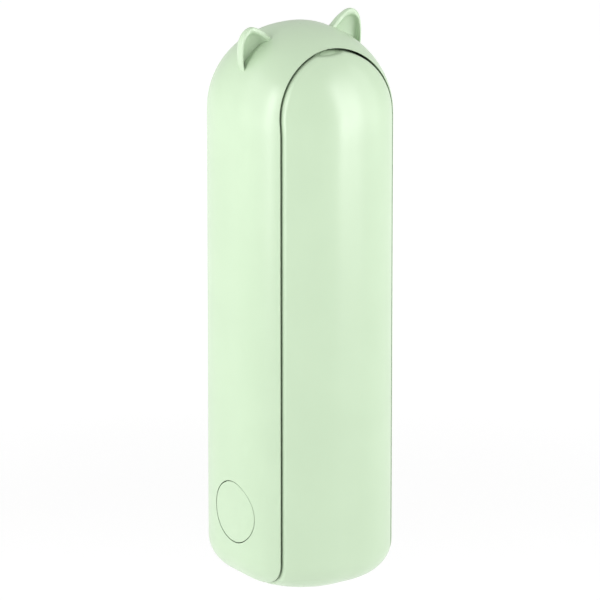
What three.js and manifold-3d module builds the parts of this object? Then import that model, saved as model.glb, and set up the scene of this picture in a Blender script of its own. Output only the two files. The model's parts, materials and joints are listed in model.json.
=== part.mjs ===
// Folding pocket fan: a domed handle with two small ears, and an arm that swings out of its front.
// Millimetres, +Z up. The origin is the centre of the foot and the arm's front panel faces -Y.
import * as THREE from "three";
import { mergeVertices } from "three/addons/utils/BufferGeometryUtils.js";
import Module from "manifold-3d";

const wasm = await Module();
wasm.setup();

// Outer body: a round-cornered column with a domed top.
const HALF_WIDTH = 20.5;
const HALF_DEPTH = 22;
const CORNER_RADIUS = 18.4;
const FOOT_RADIUS = 7.4;
const SHOULDER_Z = 115.2;
const DOME_HEIGHT = 21.2;
const WALL = 2;
const FIT = 0.3; // gap between a fixed piece and its seat
const FAR = 30; // further out than the body's sides
const OVER = 145; // higher than the ears

// Ears. The outline is the +X ear's in the XZ plane: up its outer edge, over the tip, down its
// inner edge and back inside the dome.
const EAR_OUTLINE = [
  [15.7, 125], [16.9, 128.9], [17.1, 133], [16.4, 136.4], [14.3, 138],
  [11.7, 137], [9.5, 135.2], [7.4, 132.8], [10, 129.4], [13.4, 126.4],
];
const EAR_ROOT = [13.6, 129];
const EAR_FRONT_Y = -0.9;
const EAR_BACK_Y = 4.2;
const EAR_EDGE = 0.35; // rounding of the rim
const SCOOP_ROOT = [13.9, 128.4];
const SCOOP_SIZE = 0.85; // the hollow's outline against the ear's
const SCOOP_BACK_Y = 0.9;

// Arm outline: straight sides that end in an elliptic arch.
const ARM_HALF_WIDTH = 15.65;
const SEAM_GAP = 0.45;
const ARCH_CENTRE_Z = 117.4;
const ARCH_RISE = 15.2;
const ARM_BACK_Y = -12.7;
const ARM_LIP_Y = -10.7;
const ARM_LIP_Z = 127.8;
const NOTCH_HALF_WIDTH = 4.8;
const NOTCH_DROP = 0.7;
const NOTCH_DEPTH = 1;

// Hinge between the handle's cheeks and the arm's heel.
const HINGE_Y = -1.7;
const HINGE_Z = 18;
const HEEL_RADIUS = 27.15;
const HEEL_SWEEP_RADIUS = HEEL_RADIUS + 0.35;
const BULKHEAD = 2;
const PIN_RADIUS = 3.4;
const PIN_CAP_RADIUS = 7.5;
const PIN_CAP_X = 18.9;
const PIN_END_X = 8.6;
const PIN_BORE_RADIUS = 1.3;
const CLIP_X = 9.65;
const BUSH_RADIUS = 5.2;
const BUSH_SPAN = [10.5, 14.7];
const WASHER_RADIUS = 6.6;
const WASHER_SPAN = [15.05, 15.55];
const ARM_BOSS_X = 10.2;
const ARM_BOSS_RADIUS = 7.6;
const CABLE_DUCT_X = 17.8;
const CABLE_DUCT_RADIUS = 1;
const CABLE_RADIUS = 0.55;

// Inner covers.
const HANDLE_COVER_FRONT_Y = -4.4;
const HANDLE_COVER_BACK_Y = -2.6;
const HANDLE_COVER_LOW_Z = 47.9;
const ARM_COVER_THICKNESS = 1.5;
const ARM_CAVITY_HALF_WIDTH = ARM_HALF_WIDTH - WALL;
const ARM_CAVITY_RISE = 9.6;

// Fan and motor, on an axis parallel to Y.
const FAN_Z = 86.2;
const BLADE_RADIUS = 40.5;
const BLADE_MID_Y = -8.9;
const BELL_RADIUS = 9.2;
const BELL_FRONT_Y = -12.5;
const BELL_REAR_Y = -17.2;
const SHAFT_RADIUS = 1;
const SHAFT_FIT = 0.15;
const BEARING_RADIUS = 2.15;
const BLADE_ROOT = 7;
const TIP_START = 33; // where the blade's rounded tip begins
const HUB_RADIUS = 9.4;
const TOOTH_COUNT = 6;
const TOOTH_SPAN = [-16.5, -14.9];
const BASE_SPAN = [-18.3, -17.5];

// Electronics in the handle.
const CELL_RADIUS = 9.2;
const CELL_LENGTH = 65;
const CELL_Y = 10.4;
const CELL_LOW_Z = 49.4;
const BOARD = { halfWidth: 12, front: -0.3, back: 0.7, low: 54, high: 92 };
const BUTTON_Z = 67;
const BUTTON_RADIUS = 4;
const BUTTON_FRONT_Y = -5.2;
const INDICATOR_Z = 76;
const INDICATOR_X = [-4.5, -1.5, 1.5, 4.5];
const PIP_RADIUS = 0.75;
const PORT = { z: 59.5, y: 2.6, length: 9, width: 3.2 };

// Screws.
const COVER_SCREWS = [[-14.8, 50.4], [-14.8, 108], [14.8, 50.4], [14.8, 108]];
const ARM_SCREWS = [[-10.6, 50], [10.6, 50], [-9.6, 114], [9.6, 114]];
const HEEL_SCREW_Y = 13;
const HEEL_SCREW_TOP_Z = 39.4;
const MOTOR_SCREWS_Z = [FAN_Z - 11.6, FAN_Z + 11.6];
const MOTOR_BOSS_RADIUS = 1.9;
const PILOT_RADIUS = 1; // hole for a cover screw's shank
const SCREW_SEAT_RADIUS = 2;
const SMALL_PILOT_RADIUS = 0.8;

// Sides of a round piece, from the large ones to the small ones.
const DRUM = 64;
const FINE = 32;
const MEDIUM = 18;
const COARSE = 10;

function material(color, roughness, metalness = 0) {
  return new THREE.MeshStandardMaterial({ color, roughness, metalness });
}

const MINT = material(0xd6f0d0, 0.42);
const MINT_INNER = material(0xdff4da, 0.5);
const BLADE = material(0xf2faf0, 0.4);
const LIGHT_PIPE = material(0xf4f7f4, 0.25);
const STEEL = material(0xb9bcc0, 0.3, 0.9);
const DARK_STEEL = material(0x4b4e53, 0.45, 0.8);
const COPPER = material(0xb8672f, 0.35, 0.8);
const NICKEL = material(0xc9c5b8, 0.35, 0.85);
const BRASS = material(0xb59a54, 0.4, 0.8);
const CELL_WRAP = material(0x3a78a8, 0.45);
const BOARD_GREEN = material(0x1f5b3a, 0.5);
const CHIP_BLACK = material(0x1d1f21, 0.6);
const FOAM = material(0x2c2e30, 0.95);
const RED_WIRE = material(0xb3261e, 0.5);
const BLACK_WIRE = material(0x202124, 0.5);

// ---- Solids -------------------------------------------------------------------------------------

function signedVolume(positions, index) {
  const corner = [new THREE.Vector3(), new THREE.Vector3(), new THREE.Vector3()];
  let volume = 0;
  for (let i = 0; i < index.length; i += 3) {
    corner.forEach((point, k) => point.fromArray(positions, 3 * index[i + k]));
    volume += corner[0].dot(corner[1].cross(corner[2])) / 6;
  }
  return volume;
}

// Turns a closed geometry into a manifold solid whose faces point out.
function solid(geometry) {
  const bare = geometry.clone();
  bare.deleteAttribute("normal");
  bare.deleteAttribute("uv");
  const merged = mergeVertices(bare, 1e-4);
  const source = merged.index.array;
  const index = [];
  for (let i = 0; i < source.length; i += 3) {
    const [a, b, c] = [source[i], source[i + 1], source[i + 2]];
    if (a !== b && b !== c && c !== a) {
      index.push(a, b, c);
    }
  }
  const positions = Float32Array.from(merged.attributes.position.array);
  const triVerts = Uint32Array.from(signedVolume(positions, index) < 0 ? index.reverse() : index);
  return new wasm.Manifold(new wasm.Mesh({ numProp: 3, vertProperties: positions, triVerts }));
}

function geometryOf(shape) {
  const mesh = shape.getMesh();
  const geometry = new THREE.BufferGeometry();
  geometry.setAttribute("position", new THREE.BufferAttribute(mesh.vertProperties, 3));
  geometry.setIndex(new THREE.BufferAttribute(mesh.triVerts, 1));
  geometry.computeVertexNormals();
  return geometry;
}

function join(...shapes) {
  return shapes.reduce((whole, shape) => whole.add(shape));
}

function cut(shape, ...tools) {
  return tools.reduce((left, tool) => left.subtract(tool), shape);
}

// The span from a to b out from the middle plane, on one side of it.
function sideSpan(side, a, b) {
  return [side * a, side * b].sort((p, q) => p - q);
}

function box([x0, x1], [y0, y1], [z0, z1]) {
  const geometry = new THREE.BoxGeometry(x1 - x0, y1 - y0, z1 - z0);
  return solid(geometry.translate((x0 + x1) / 2, (y0 + y1) / 2, (z0 + z1) / 2));
}

function rodX(radius, [x0, x1], y, z, segments = MEDIUM) {
  const geometry = new THREE.CylinderGeometry(radius, radius, x1 - x0, segments);
  return solid(geometry.rotateZ(Math.PI / 2).translate((x0 + x1) / 2, y, z));
}

function rodY(radius, [y0, y1], x, z, segments = MEDIUM) {
  const geometry = new THREE.CylinderGeometry(radius, radius, y1 - y0, segments);
  return solid(geometry.translate(x, (y0 + y1) / 2, z));
}

function rodZ(radius, [z0, z1], x, y, segments = MEDIUM) {
  const geometry = new THREE.CylinderGeometry(radius, radius, z1 - z0, segments);
  return solid(geometry.rotateX(Math.PI / 2).translate(x, y, (z0 + z1) / 2));
}

function tubeY(inner, outer, span, x, z, segments = MEDIUM) {
  const bore = rodY(inner, [span[0] - 1, span[1] + 1], x, z, segments);
  return rodY(outer, span, x, z, segments).subtract(bore);
}

// A solid of revolution about Y through (x, z), from [radius, y] points that start and end on the axis.
function turnedY(profile, x, z, segments = MEDIUM) {
  const points = profile.map(([radius, y]) => new THREE.Vector2(radius, y));
  return solid(new THREE.LatheGeometry(points, segments).translate(x, 0, z));
}

// Joins rings of equal point count into one closed surface with a fan at each end.
function loft(rings) {
  const count = rings[0].length;
  const positions = [];
  const index = [];
  rings.forEach((ring) => ring.forEach((point) => positions.push(point.x, point.y, point.z)));
  for (let r = 0; r + 1 < rings.length; r += 1) {
    for (let i = 0; i < count; i += 1) {
      const a = r * count + i;
      const b = r * count + ((i + 1) % count);
      index.push(a, b, b + count, a, b + count, a + count);
    }
  }
  [0, rings.length - 1].forEach((r) => {
    const hub = positions.length / 3;
    const centre = new THREE.Vector3();
    rings[r].forEach((point) => centre.addScaledVector(point, 1 / count));
    positions.push(centre.x, centre.y, centre.z);
    for (let i = 0; i < count; i += 1) {
      const edge = [r * count + i, r * count + ((i + 1) % count)];
      index.push(hub, ...(r === 0 ? edge.reverse() : edge));
    }
  });
  const geometry = new THREE.BufferGeometry();
  geometry.setAttribute("position", new THREE.Float32BufferAttribute(positions, 3));
  geometry.setIndex(index);
  return solid(geometry);
}

// ---- Outer form ---------------------------------------------------------------------------------

const CORNER_STEPS = 6;
const FOOT_STEPS = 4;
const DOME_STEPS = 8;

function sectionRing(z, inset, scale) {
  const ring = [];
  const radius = CORNER_RADIUS - inset;
  const centreX = HALF_WIDTH - CORNER_RADIUS;
  const centreY = HALF_DEPTH - CORNER_RADIUS;
  for (let corner = 0; corner < 4; corner += 1) {
    const signX = corner === 0 || corner === 3 ? 1 : -1;
    const signY = corner < 2 ? 1 : -1;
    for (let i = 0; i <= CORNER_STEPS; i += 1) {
      const angle = ((corner + i / CORNER_STEPS) * Math.PI) / 2;
      const x = signX * centreX + radius * Math.cos(angle);
      const y = signY * centreY + radius * Math.sin(angle);
      ring.push(new THREE.Vector3(scale * x, scale * y, z));
    }
  }
  return ring;
}

// The body's outer form, or the form a wall's thickness inside it.
function bodyForm(inset = 0) {
  const rings = [];
  const foot = FOOT_RADIUS - inset;
  for (let i = 0; i <= FOOT_STEPS; i += 1) {
    const angle = ((i / FOOT_STEPS) * Math.PI) / 2;
    const height = inset + foot * (1 - Math.cos(angle));
    rings.push(sectionRing(height, inset + foot * (1 - Math.sin(angle)), 1));
  }
  for (let i = 0; i < DOME_STEPS; i += 1) {
    const angle = ((i / DOME_STEPS) * Math.PI) / 2;
    const height = SHOULDER_Z + (DOME_HEIGHT - inset) * Math.sin(angle);
    rings.push(sectionRing(height, inset, Math.cos(angle)));
  }
  const crown = 0.06; // the small flat that closes the dome
  const crownZ = SHOULDER_Z + (DOME_HEIGHT - inset) * Math.sqrt(1 - crown * crown);
  rings.push(sectionRing(crownZ, inset, crown));
  return loft(rings);
}

// A prism along Y with straight sides and an elliptic arch on top.
function archPrism(halfWidth, rise, [y0, y1], lowZ = -1) {
  const shape = new THREE.Shape();
  shape.moveTo(-halfWidth, lowZ);
  shape.lineTo(halfWidth, lowZ);
  shape.lineTo(halfWidth, ARCH_CENTRE_Z);
  shape.absellipse(0, ARCH_CENTRE_Z, halfWidth, rise, 0, Math.PI, false);
  const geometry = new THREE.ExtrudeGeometry(shape, {
    depth: y1 - y0,
    bevelEnabled: false,
    curveSegments: 16,
  });
  return solid(geometry.rotateX(Math.PI / 2).translate(0, y1, 0));
}

// ---- Ears ---------------------------------------------------------------------------------------

const EAR_CURVE = new THREE.CatmullRomCurve3(
  EAR_OUTLINE.map(([x, z]) => new THREE.Vector3(x, 0, z)),
  true,
  "catmullrom",
).getPoints(2 * EAR_OUTLINE.length).slice(1);

function earRing(side, [rootX, rootZ], size, y) {
  return EAR_CURVE.map(({ x, z }) => (
    new THREE.Vector3(side * (rootX + size * (x - rootX)), y, rootZ + size * (z - rootZ))
  ));
}

// A cupped ear: a rounded front rim, a convex back and a hollow front.
function ear(side) {
  const backSteps = 5;
  const scoopSteps = 4;
  const rimY = EAR_FRONT_Y + EAR_EDGE;
  const back = [earRing(side, EAR_ROOT, 1 - 0.1 * EAR_EDGE, EAR_FRONT_Y)];
  for (let i = 0; i <= backSteps; i += 1) {
    const angle = (0.47 * Math.PI * i) / backSteps;
    const y = rimY + (EAR_BACK_Y - rimY) * Math.sin(angle);
    back.push(earRing(side, EAR_ROOT, Math.cos(angle), y));
  }
  const scoop = [earRing(side, SCOOP_ROOT, SCOOP_SIZE, EAR_FRONT_Y - 1)];
  for (let i = 0; i <= scoopSteps; i += 1) {
    const angle = (0.45 * Math.PI * i) / scoopSteps;
    const y = EAR_FRONT_Y + (SCOOP_BACK_Y - EAR_FRONT_Y) * Math.sin(angle);
    scoop.push(earRing(side, SCOOP_ROOT, SCOOP_SIZE * Math.sqrt(Math.cos(angle)), y));
  }
  return loft(back).subtract(loft(scoop));
}

// ---- Handle -------------------------------------------------------------------------------------

function handleShell() {
  const outer = join(bodyForm(), ear(-1), ear(1));
  const bulkhead = rodX(HEEL_SWEEP_RADIUS + BULKHEAD, [-FAR, FAR], HINGE_Y, HINGE_Z, FINE);
  const cavity = cut(bodyForm(WALL), bulkhead, box([-FAR, FAR], [-FAR, FAR], [-5, HINGE_Z]));
  const openHalf = ARM_HALF_WIDTH + SEAM_GAP;
  const opening = archPrism(openHalf, ARCH_RISE + SEAM_GAP, [-FAR, HANDLE_COVER_FRONT_Y]);
  const heelSpace = rodX(HEEL_SWEEP_RADIUS, [-openHalf, openHalf], HINGE_Y, HINGE_Z, DRUM);
  const shell = withPinHoles(withCoverBosses(cut(outer, cavity, opening, heelSpace)));
  const ductSpan = [HINGE_Z, HANDLE_COVER_LOW_Z + 2];
  const duct = rodZ(CABLE_DUCT_RADIUS, ductSpan, CABLE_DUCT_X, HINGE_Y, COARSE);
  const port = portSlot(PORT.length / 2 + FIT, PORT.width / 2 + FIT, [15, FAR]);
  return cut(shell, duct, port);
}

function withCoverBosses(shell) {
  return COVER_SCREWS.reduce((whole, [x, z]) => {
    const boss = rodY(2.2, [HANDLE_COVER_BACK_Y + FIT, HALF_DEPTH], x, z, COARSE);
    const pilot = rodY(PILOT_RADIUS, [HANDLE_COVER_BACK_Y, 5], x, z, COARSE);
    return whole.add(boss.intersect(bodyForm(WALL / 2))).subtract(pilot);
  }, shell);
}

// A bore through each cheek for the hinge pin, with a shallow round pocket for its cap.
function withPinHoles(shell) {
  return [-1, 1].reduce((whole, side) => {
    const pocketSpan = sideSpan(side, PIN_CAP_X - 0.2, FAR);
    const pocket = rodX(PIN_CAP_RADIUS + FIT, pocketSpan, HINGE_Y, HINGE_Z, FINE);
    const bore = rodX(PIN_RADIUS + FIT, sideSpan(side, 10, FAR), HINGE_Y, HINGE_Z);
    return cut(whole, pocket, bore);
  }, shell);
}

// A slot with round ends whose long side runs along Z.
function portSlot(halfLength, halfWidth, span) {
  const straight = halfLength - halfWidth;
  const across = [PORT.y - halfWidth, PORT.y + halfWidth];
  const middle = box(span, across, [PORT.z - straight, PORT.z + straight]);
  const ends = [-straight, straight].map((offset) => rodX(halfWidth, span, PORT.y, PORT.z + offset));
  return join(middle, ...ends);
}

function handleInnerCover() {
  const thickness = [HANDLE_COVER_FRONT_Y, HANDLE_COVER_BACK_Y];
  const slab = box([-FAR, FAR], thickness, [HANDLE_COVER_LOW_Z, OVER]);
  const through = [HANDLE_COVER_FRONT_Y - 1, HANDLE_COVER_BACK_Y + 1];
  const seat = [through[0], HANDLE_COVER_FRONT_Y + 1.1];
  const holes = [
    rodY(BUTTON_RADIUS + FIT, through, 0, BUTTON_Z),
    ...INDICATOR_X.map((x) => rodY(PIP_RADIUS + FIT, through, x, INDICATOR_Z, COARSE)),
    ...COVER_SCREWS.map(([x, z]) => rodY(PILOT_RADIUS, through, x, z, COARSE)),
    ...COVER_SCREWS.map(([x, z]) => rodY(SCREW_SEAT_RADIUS, seat, x, z, COARSE)),
  ];
  return cut(slab.intersect(bodyForm(WALL + FIT)), ...holes);
}

// Four clear pips on one bar behind the cover.
function chargeIndicator() {
  const barSpan = [HANDLE_COVER_BACK_Y + FIT, HANDLE_COVER_BACK_Y + 1.1];
  const bar = box([-6, 6], barSpan, [INDICATOR_Z - 1, INDICATOR_Z + 1]);
  const pipSpan = [HANDLE_COVER_FRONT_Y, HANDLE_COVER_BACK_Y + 0.6];
  return join(bar, ...INDICATOR_X.map((x) => rodY(PIP_RADIUS, pipSpan, x, INDICATOR_Z, COARSE)));
}

// A round button with a dished face and a flange that keeps it behind the cover.
function powerButton() {
  const flangeY = HANDLE_COVER_BACK_Y + FIT;
  const flangeRadius = BUTTON_RADIUS + 1;
  return turnedY([
    [0, flangeY + 0.5],
    [flangeRadius, flangeY + 0.5],
    [flangeRadius, flangeY],
    [BUTTON_RADIUS, flangeY],
    [BUTTON_RADIUS, BUTTON_FRONT_Y + 0.3],
    [BUTTON_RADIUS - 0.4, BUTTON_FRONT_Y],
    [BUTTON_RADIUS - 1.4, BUTTON_FRONT_Y],
    [0, BUTTON_FRONT_Y + 0.2],
  ], 0, BUTTON_Z);
}

function tactSwitch() {
  const half = 2.2;
  const span = [BOARD.front - 0.9, BOARD.front - 0.3];
  return box([-half, half], span, [BUTTON_Z - half, BUTTON_Z + half]);
}

function controlBoard() {
  const thickness = [BOARD.front, BOARD.back];
  const board = box([-BOARD.halfWidth, BOARD.halfWidth], thickness, [BOARD.low, BOARD.high]);
  return cut(board, ...[-9.5, 9.5].map((x) => rodY(1.2, [-2, 2], x, BOARD.high - 4, COARSE)));
}

// A round cell, with a rolled lower edge and a stepped cap on top.
function cell() {
  const top = CELL_LENGTH;
  const profile = [
    [0, 0],
    [8.8, 0],
    [CELL_RADIUS, 0.4],
    [CELL_RADIUS, top - 1.4],
    [8.6, top - 0.8],
    [6.4, top - 0.8],
    [6.4, top - 1.2],
    [3.6, top - 1.2],
    [3.2, top],
    [0, top],
  ];
  const points = profile.map(([radius, height]) => new THREE.Vector2(radius, height));
  const turned = new THREE.LatheGeometry(points, MEDIUM).rotateX(Math.PI / 2);
  return solid(turned.translate(0, CELL_Y, CELL_LOW_Z));
}

// A tab under or over the cell: a strip that ends just in front of the cell.
function cellTab(z0) {
  const strip = box([-2.5, 2.5], [2, CELL_Y + 4], [z0, z0 + 0.3]);
  return strip.add(rodZ(3.4, [z0, z0 + 0.3], 0, CELL_Y, MEDIUM));
}

function usbPort() {
  const span = [10.6, 19.7];
  const wall = 0.35;
  const shell = portSlot(PORT.length / 2, PORT.width / 2, span);
  const mouth = portSlot(PORT.length / 2 - wall, PORT.width / 2 - wall, [span[0] + 2, FAR]);
  const tongueAcross = [PORT.y - 0.35, PORT.y + 0.35];
  const tongue = box([span[0] + 1, span[1] - 1.1], tongueAcross, [PORT.z - 3.3, PORT.z + 3.3]);
  return shell.subtract(mouth).add(tongue);
}

// A hollow pin with a broad cap that is flush with the cheek, and a groove for its clip.
function hingePin(side) {
  const capRod = rodX(PIN_CAP_RADIUS, sideSpan(side, PIN_CAP_X, FAR), HINGE_Y, HINGE_Z, FINE);
  const cap = capRod.intersect(bodyForm());
  const stem = rodX(PIN_RADIUS, sideSpan(side, PIN_END_X, PIN_CAP_X + 0.5), HINGE_Y, HINGE_Z);
  const bore = rodX(PIN_BORE_RADIUS, sideSpan(side, 0, PIN_CAP_X - 0.5), HINGE_Y, HINGE_Z, COARSE);
  const groove = pinRing(2.6, PIN_RADIUS + 1, [CLIP_X - 0.3, CLIP_X + 0.3], side);
  const exitSpan = [HINGE_Z, HINGE_Z + 6];
  const exit = rodZ(CABLE_DUCT_RADIUS, exitSpan, side * CABLE_DUCT_X, HINGE_Y, COARSE);
  return cut(join(cap, stem), bore, groove, exit);
}

// An open ring that snaps into the pin's groove and keeps the arm on it.
function pinClip(side) {
  const ring = pinRing(2.75, 4.9, [CLIP_X - 0.2, CLIP_X + 0.2], side);
  return ring.subtract(box([-20, 20], [HINGE_Y - 1.6, HINGE_Y + 1.6], [HINGE_Z - 10, HINGE_Z]));
}

function pinRing(inner, outer, [x0, x1], side) {
  const span = sideSpan(side, x0, x1);
  return rodX(outer, span, HINGE_Y, HINGE_Z).subtract(rodX(inner, span, HINGE_Y, HINGE_Z));
}

// ---- Arm ----------------------------------------------------------------------------------------

function armShell() {
  const outline = archPrism(ARM_HALF_WIDTH, ARCH_RISE, [-FAR, FAR]);
  const region = join(
    box([-FAR, FAR], [-FAR, ARM_BACK_Y], [-5, OVER]),
    box([-FAR, FAR], [-FAR, ARM_LIP_Y], [ARM_LIP_Z, OVER]),
    rodX(HEEL_RADIUS, [-FAR, FAR], HINGE_Y, HINGE_Z, DRUM),
  );
  const form = bodyForm().intersect(outline).intersect(region);
  return withArmBosses(withPinBosses(cut(form, armCavity(WALL, 0), fingerNotch())));
}

// A shallow recess in the top of the arm's outline, to pull the arm out by.
function fingerNotch() {
  const geometry = new THREE.CylinderGeometry(1, 1, 2 * FAR, MEDIUM);
  geometry.scale(NOTCH_HALF_WIDTH, 1, NOTCH_DROP);
  geometry.translate(0, 0, ARCH_CENTRE_Z + ARCH_RISE);
  return solid(geometry).subtract(bodyForm(NOTCH_DEPTH));
}

// A boss inside each side of the heel, with a seat for the bush and one for the washer.
function withPinBosses(shell) {
  return [-1, 1].reduce((whole, side) => {
    const bossSpan = sideSpan(side, ARM_BOSS_X, ARM_HALF_WIDTH - 1);
    const boss = rodX(ARM_BOSS_RADIUS, bossSpan, HINGE_Y, HINGE_Z);
    const bushSeat = rodX(BUSH_RADIUS + 0.2, sideSpan(side, 5, FAR), HINGE_Y, HINGE_Z);
    const washerSpan = sideSpan(side, WASHER_SPAN[0] - 0.15, FAR);
    const washerSeat = rodX(WASHER_RADIUS + FIT, washerSpan, HINGE_Y, HINGE_Z);
    return cut(whole.add(boss), bushSeat, washerSeat);
  }, shell);
}

// Bosses for the cover's screws, the heel's screw and the motor's two screws.
function withArmBosses(shell) {
  const coverBosses = ARM_SCREWS.map(([x, z]) => (
    rodY(2, [-FAR, ARM_BACK_Y - ARM_COVER_THICKNESS - FIT], x, z, COARSE).intersect(bodyForm(WALL / 2))
  ));
  const heelSpan = [1, HEEL_SCREW_TOP_Z - 2.9];
  const motorSpan = [1 - HALF_DEPTH, BASE_SPAN[0] - FIT];
  const bosses = [
    ...coverBosses,
    rodZ(2.4, heelSpan, 0, HEEL_SCREW_Y, COARSE),
    ...MOTOR_SCREWS_Z.map((z) => rodY(MOTOR_BOSS_RADIUS, motorSpan, 0, z, COARSE)),
  ];
  const pilots = [
    ...ARM_SCREWS.map(([x, z]) => rodY(PILOT_RADIUS, [-17.4, ARM_BACK_Y], x, z, COARSE)),
    rodZ(PILOT_RADIUS, [26, HEEL_SCREW_TOP_Z], 0, HEEL_SCREW_Y, COARSE),
    ...MOTOR_SCREWS_Z.map((z) => rodY(SMALL_PILOT_RADIUS, [-20.6, -15], 0, z, COARSE)),
  ];
  return cut(join(shell, ...bosses), ...pilots);
}

// The hollow of the arm, or the same form shrunk by the fit of its inner cover.
function armCavity(wall, fit) {
  const outline = archPrism(ARM_CAVITY_HALF_WIDTH - fit, ARM_CAVITY_RISE - fit, [-FAR, FAR]);
  return bodyForm(wall + fit).intersect(outline);
}

// A lid: an upright plate behind the front panel that runs into a curved roof over the heel.
function armInnerCover() {
  const plateBack = ARM_BACK_Y - ARM_COVER_THICKNESS;
  const drum = rodX(HEEL_RADIUS, [-FAR, FAR], HINGE_Y, HINGE_Z, DRUM);
  const under = rodX(HEEL_RADIUS - ARM_COVER_THICKNESS, [-FAR, FAR], HINGE_Y, HINGE_Z, DRUM);
  const plate = box([-FAR, FAR], [plateBack, ARM_BACK_Y], [HINGE_Z, OVER]);
  const roof = drum.intersect(box([-FAR, FAR], [plateBack, FAR], [HINGE_Z, OVER]));
  const lid = join(plate, roof).subtract(under).intersect(armCavity(WALL, FIT));
  const through = [plateBack - 1, ARM_BACK_Y + 1];
  const seat = [ARM_BACK_Y - 0.9, ARM_BACK_Y + 1];
  const heelSeat = [HEEL_SCREW_TOP_Z - 0.9, HEEL_SCREW_TOP_Z + 10];
  const holes = [
    rodY(BELL_RADIUS + 0.6, through, 0, FAN_Z, FINE),
    ...ARM_SCREWS.map(([x, z]) => rodY(PILOT_RADIUS, through, x, z, COARSE)),
    ...ARM_SCREWS.map(([x, z]) => rodY(SCREW_SEAT_RADIUS, seat, x, z, COARSE)),
    rodZ(PILOT_RADIUS, [HINGE_Z + 6, HEEL_SCREW_TOP_Z + 10], 0, HEEL_SCREW_Y, COARSE),
    rodZ(SCREW_SEAT_RADIUS, heelSeat, 0, HEEL_SCREW_Y, COARSE),
  ];
  return cut(lid, ...holes);
}

// ---- Motor --------------------------------------------------------------------------------------

// A round plate with two screw ears and the tower that holds the bearings.
function motorBase() {
  const strap = box([-MOTOR_BOSS_RADIUS, MOTOR_BOSS_RADIUS], BASE_SPAN, MOTOR_SCREWS_Z);
  const ears = MOTOR_SCREWS_Z.map((z) => rodY(MOTOR_BOSS_RADIUS, BASE_SPAN, 0, z, COARSE));
  const tower = rodY(2.9, [-19.4, -14], 0, FAN_Z);
  const holes = MOTOR_SCREWS_Z.map((z) => rodY(SMALL_PILOT_RADIUS, [-21, -17], 0, z, COARSE));
  const plate = join(rodY(8.5, BASE_SPAN, 0, FAN_Z), strap, ...ears, tower);
  return cut(plate, rodY(BEARING_RADIUS + SHAFT_FIT, [-19, -13], 0, FAN_Z), ...holes);
}

// The shape turned by an angle about the fan's axis.
function aroundFan(shape, angle) {
  const turn = new THREE.Matrix4().makeTranslation(0, 0, FAN_Z);
  turn.multiply(new THREE.Matrix4().makeRotationY(angle));
  turn.multiply(new THREE.Matrix4().makeTranslation(0, 0, -FAN_Z));
  return solid(geometryOf(shape).applyMatrix4(turn));
}

function statorCore() {
  let core = rodY(4.2, TOOTH_SPAN, 0, FAN_Z);
  for (let i = 0; i < TOOTH_COUNT; i += 1) {
    const neck = box([-0.8, 0.8], TOOTH_SPAN, [FAN_Z + 3, FAN_Z + 6.6]);
    const shoe = box([-2.2, 2.2], TOOTH_SPAN, [FAN_Z + 6.2, FAN_Z + 6.8]);
    core = core.add(aroundFan(join(neck, shoe), (i * 2 * Math.PI) / TOOTH_COUNT));
  }
  return core.subtract(rodY(3.1, [-20, -10], 0, FAN_Z));
}

function coil(index) {
  const [rear, front] = TOOTH_SPAN;
  const outer = box([-1.75, 1.75], [rear - 0.8, front + 0.8], [FAN_Z + 4.5, FAN_Z + 6]);
  const hole = box([-0.95, 0.95], [rear - SHAFT_FIT, front + SHAFT_FIT], [FAN_Z + 4, FAN_Z + 7]);
  return aroundFan(outer.subtract(hole), (index * 2 * Math.PI) / TOOTH_COUNT);
}

// A cup that is open at the rear and turns round the stator.
function rotorBell() {
  const bore = SHAFT_RADIUS + SHAFT_FIT;
  const inside = BELL_RADIUS - 0.7;
  const floorY = BELL_FRONT_Y - 0.8;
  return turnedY([
    [bore, BELL_FRONT_Y],
    [BELL_RADIUS - 0.6, BELL_FRONT_Y],
    [BELL_RADIUS, BELL_FRONT_Y - 0.6],
    [BELL_RADIUS, BELL_REAR_Y],
    [inside, BELL_REAR_Y],
    [inside, floorY],
    [bore, floorY],
    [bore, BELL_FRONT_Y],
  ], 0, FAN_Z, FINE);
}

// ---- Propeller ----------------------------------------------------------------------------------

// The blade's curved section at a radius, twisted more steeply near the hub.
function bladeSection(radius) {
  const along = (radius - BLADE_ROOT) / (BLADE_RADIUS - BLADE_ROOT);
  const twist = THREE.MathUtils.degToRad(27 - 11 * along);
  const past = Math.max(radius - TIP_START, 0) / (BLADE_RADIUS - TIP_START);
  const halfChord = (5.2 + 4.6 * Math.sin(along * 1.5)) * Math.sqrt(1 - 0.985 * past * past);
  const halfThickness = (0.65 - 0.3 * along) * Math.min(1, halfChord / 4);
  const ring = [];
  const count = 12;
  for (let i = 0; i < count; i += 1) {
    const angle = (i / count) * 2 * Math.PI;
    const chord = halfChord * Math.cos(angle);
    const camber = 0.5 * (1 - Math.cos(angle) ** 2);
    const height = halfThickness * Math.sin(angle) + camber;
    ring.push(new THREE.Vector3(
      chord * Math.cos(twist) - height * Math.sin(twist),
      BLADE_MID_Y + chord * Math.sin(twist) + height * Math.cos(twist),
      FAN_Z + radius,
    ));
  }
  return ring;
}

function blade() {
  const rings = [];
  const inboard = 7;
  const outboard = 4;
  for (let i = 0; i < inboard; i += 1) {
    rings.push(bladeSection(BLADE_ROOT + ((TIP_START - BLADE_ROOT) * i) / inboard));
  }
  for (let i = 0; i <= outboard; i += 1) {
    const angle = ((i / outboard) * Math.PI) / 2;
    rings.push(bladeSection(TIP_START + (BLADE_RADIUS - TIP_START) * Math.sin(angle)));
  }
  return loft(rings);
}

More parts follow.
